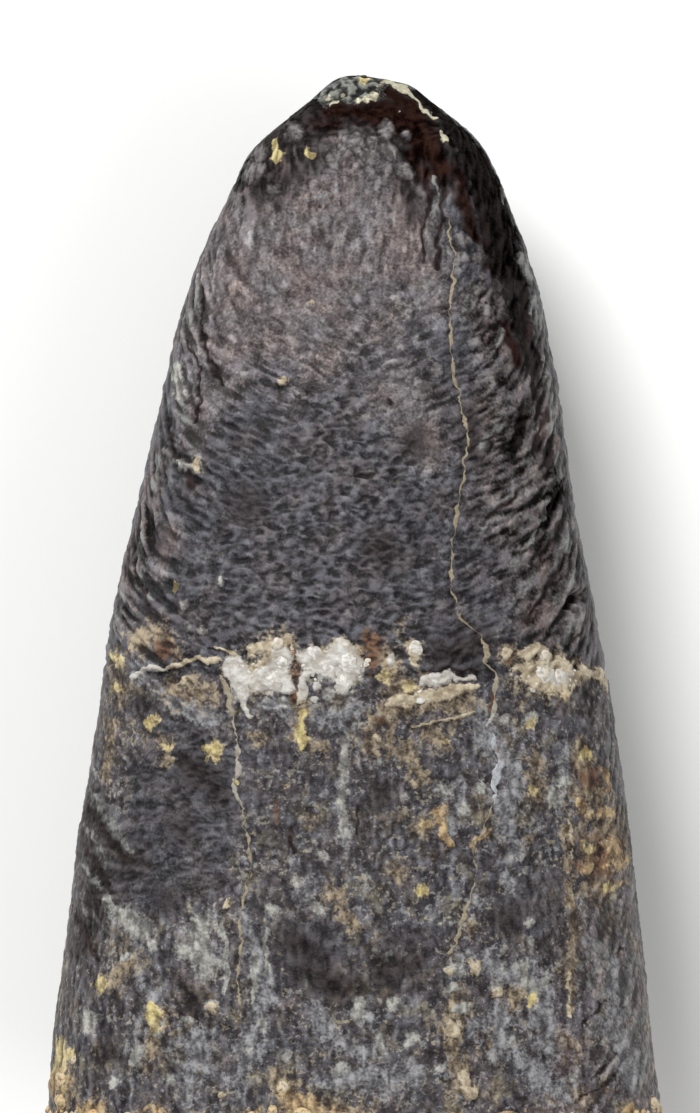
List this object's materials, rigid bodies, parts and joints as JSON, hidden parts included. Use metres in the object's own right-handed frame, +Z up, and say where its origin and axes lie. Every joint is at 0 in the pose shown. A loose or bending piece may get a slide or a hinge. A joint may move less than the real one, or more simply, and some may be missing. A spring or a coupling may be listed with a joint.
{
  "type": "fossil diplodocid tooth",
  "caption": "Dark, wrinkled fossil sauropod tooth crown with a worn tip, a white mineral-healed crosswise break and sandy matrix on its broken base, lying on its side.",
  "frame": {"origin": "on the surface the tooth rests on, under the middle of its bounding box", "axes": "+Z up; +Y along the crown towards the tip; +X to the right of the inner face, which looks up"},
  "size_m": [0.0123, 0.0223, 0.0089],
  "materials": {
    "fossil_enamel": "blue-grey to brown-black wrinkled enamel with a dull gloss, pale mineral in the cracks and ochre matrix at the base"
  },
  "bodies": {
    "root": {"tooth": "fossil_enamel"}
  },
  "joints": []
}
